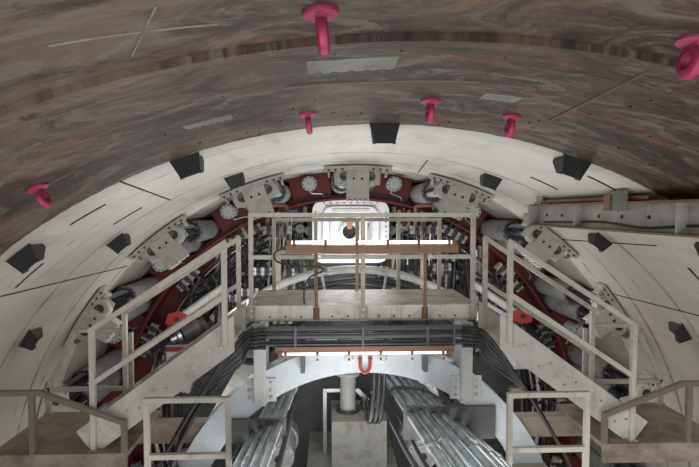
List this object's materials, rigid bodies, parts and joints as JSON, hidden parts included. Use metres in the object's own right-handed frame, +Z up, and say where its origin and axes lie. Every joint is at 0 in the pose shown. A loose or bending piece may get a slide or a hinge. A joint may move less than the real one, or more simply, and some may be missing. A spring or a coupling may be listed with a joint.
{
  "type": "tunnel boring machine shield",
  "caption": "Round shield of a tunnel boring machine with an open tail skin, thrust rams and shoes, ring beam, work platform with stairs, drive and a turning cutting head.",
  "frame": {"origin": "on the floor under the middle of the shield", "axes": "+Y forward along the shield from the open tail to the cutting head, +X to the right, +Z up"},
  "size_m": [7.3998, 9.95, 7.3998],
  "materials": {
    "rusted_steel": "bare rusted plate, cream paint on its forward part",
    "cream_paint": "satin cream paint",
    "red_paint": "dark red satin paint",
    "barrel_steel": "dark grey, oiled",
    "cover_paint": "light grey paint",
    "white_paint": "satin white paint",
    "rail_paint": "worn cream paint",
    "worn_rail": "paint worn to brown steel",
    "deck_steel": "dusty rusted plate",
    "black_steel": "black, scuffed",
    "lug_pink": "bright pink paint",
    "conduit": "galvanised, dusty",
    "lamp_body": "rust brown housing",
    "pipe_steel": "galvanised pipe",
    "head_steel": "dark heavy plate",
    "tool_steel": "worn tool steel",
    "shoe_paint": "white paint, chrome rods"
  },
  "bodies": {
    "shield": {"tail_skin": "rusted_steel", "mid_skin": "cream_paint", "front_skin": "rusted_steel", "bulkhead": "cream_paint", "thrust_ring": "red_paint", "ram_barrels": "barrel_steel", "port_covers": "cover_paint", "drive_housing": "white_paint", "drive_motors": "white_paint", "man_lock": "white_paint", "ring_beam": "white_paint", "girders": "cream_paint", "upper_deck": "cream_paint", "guard_rails": "rail_paint", "dark_rails": "worn_rail", "stairs": "cream_paint", "landings": "deck_steel", "lower_steps": "rail_paint", "skin_brackets": "black_steel", "lifting_lugs": "lug_pink", "hoist_beam": "cream_paint", "cable_tray": "conduit", "lamps": "lamp_body", "pipework": "pipe_steel", "pipe_clamps": "cream_paint", "riser_pipe": "cover_paint", "centre_floor": "cream_paint"},
    "head": {"cutting_head": "head_steel", "head_tools": "tool_steel"},
    "door": {"lock_door": "white_paint"},
    "shoe_1": {"shoe_1": "shoe_paint"},
    "shoe_2": {"shoe_2": "shoe_paint"},
    "shoe_3": {"shoe_3": "shoe_paint"},
    "shoe_4": {"shoe_4": "shoe_paint"},
    "shoe_5": {"shoe_5": "shoe_paint"},
    "shoe_6": {"shoe_6": "shoe_paint"},
    "shoe_7": {"shoe_7": "shoe_paint"},
    "shoe_8": {"shoe_8": "shoe_paint"},
    "shoe_9": {"shoe_9": "shoe_paint"},
    "shoe_10": {"shoe_10": "shoe_paint"},
    "shoe_11": {"shoe_11": "shoe_paint"},
    "shoe_12": {"shoe_12": "shoe_paint"},
    "shoe_13": {"shoe_13": "shoe_paint"},
    "shoe_14": {"shoe_14": "shoe_paint"},
    "shoe_15": {"shoe_15": "shoe_paint"},
    "shoe_16": {"shoe_16": "shoe_paint"},
    "shoe_17": {"shoe_17": "shoe_paint"},
    "shoe_18": {"shoe_18": "shoe_paint"},
    "shoe_19": {"shoe_19": "shoe_paint"}
  },
  "joints": [
    {"name": "head_spin", "type": "hinge", "parent": "shield", "child": "head", "pos_m": [0, 3.025, 3.7], "axis": [0, 1, 0], "continuous": true},
    {"name": "lock_hatch", "type": "hinge", "parent": "shield", "child": "door", "pos_m": [-0.43, 1.7067, 6.49], "axis": [0, 0, 1], "range_deg": [-105, 0]},
    {"name": "ram_1", "type": "slide", "parent": "shield", "child": "shoe_1", "axis": [0, -1, 0], "range_m": [-0.4, 1.4]},
    {"name": "ram_2", "type": "slide", "parent": "shield", "child": "shoe_2", "axis": [0, -1, 0], "range_m": [-0.4, 0.7]},
    {"name": "ram_3", "type": "slide", "parent": "shield", "child": "shoe_3", "axis": [0, -1, 0], "range_m": [-0.4, 0.7]},
    {"name": "ram_4", "type": "slide", "parent": "shield", "child": "shoe_4", "axis": [0, -1, 0], "range_m": [-0.4, 0.7]},
    {"name": "ram_5", "type": "slide", "parent": "shield", "child": "shoe_5", "axis": [0, -1, 0], "range_m": [-0.4, 1.4]},
    {"name": "ram_6", "type": "slide", "parent": "shield", "child": "shoe_6", "axis": [0, -1, 0], "range_m": [-0.4, 1.4]},
    {"name": "ram_7", "type": "slide", "parent": "shield", "child": "shoe_7", "axis": [0, -1, 0], "range_m": [-0.4, 1.4]},
    {"name": "ram_8", "type": "slide", "parent": "shield", "child": "shoe_8", "axis": [0, -1, 0], "range_m": [-0.4, 1.4]},
    {"name": "ram_9", "type": "slide", "parent": "shield", "child": "shoe_9", "axis": [0, -1, 0], "range_m": [-0.4, 1.4]},
    {"name": "ram_10", "type": "slide", "parent": "shield", "child": "shoe_10", "axis": [0, -1, 0], "range_m": [-0.4, 1.4]},
    {"name": "ram_11", "type": "slide", "parent": "shield", "child": "shoe_11", "axis": [0, -1, 0], "range_m": [-0.4, 1.4]},
    {"name": "ram_12", "type": "slide", "parent": "shield", "child": "shoe_12", "axis": [0, -1, 0], "range_m": [-0.4, 1.4]},
    {"name": "ram_13", "type": "slide", "parent": "shield", "child": "shoe_13", "axis": [0, -1, 0], "range_m": [-0.4, 1.4]},
    {"name": "ram_14", "type": "slide", "parent": "shield", "child": "shoe_14", "axis": [0, -1, 0], "range_m": [-0.4, 1.4]},
    {"name": "ram_15", "type": "slide", "parent": "shield", "child": "shoe_15", "axis": [0, -1, 0], "range_m": [-0.4, 1.4]},
    {"name": "ram_16", "type": "slide", "parent": "shield", "child": "shoe_16", "axis": [0, -1, 0], "range_m": [-0.4, 1.4]},
    {"name": "ram_17", "type": "slide", "parent": "shield", "child": "shoe_17", "axis": [0, -1, 0], "range_m": [-0.4, 0.7]},
    {"name": "ram_18", "type": "slide", "parent": "shield", "child": "shoe_18", "axis": [0, -1, 0], "range_m": [-0.4, 0.7]},
    {"name": "ram_19", "type": "slide", "parent": "shield", "child": "shoe_19", "axis": [0, -1, 0], "range_m": [-0.4, 0.7]}
  ]
}
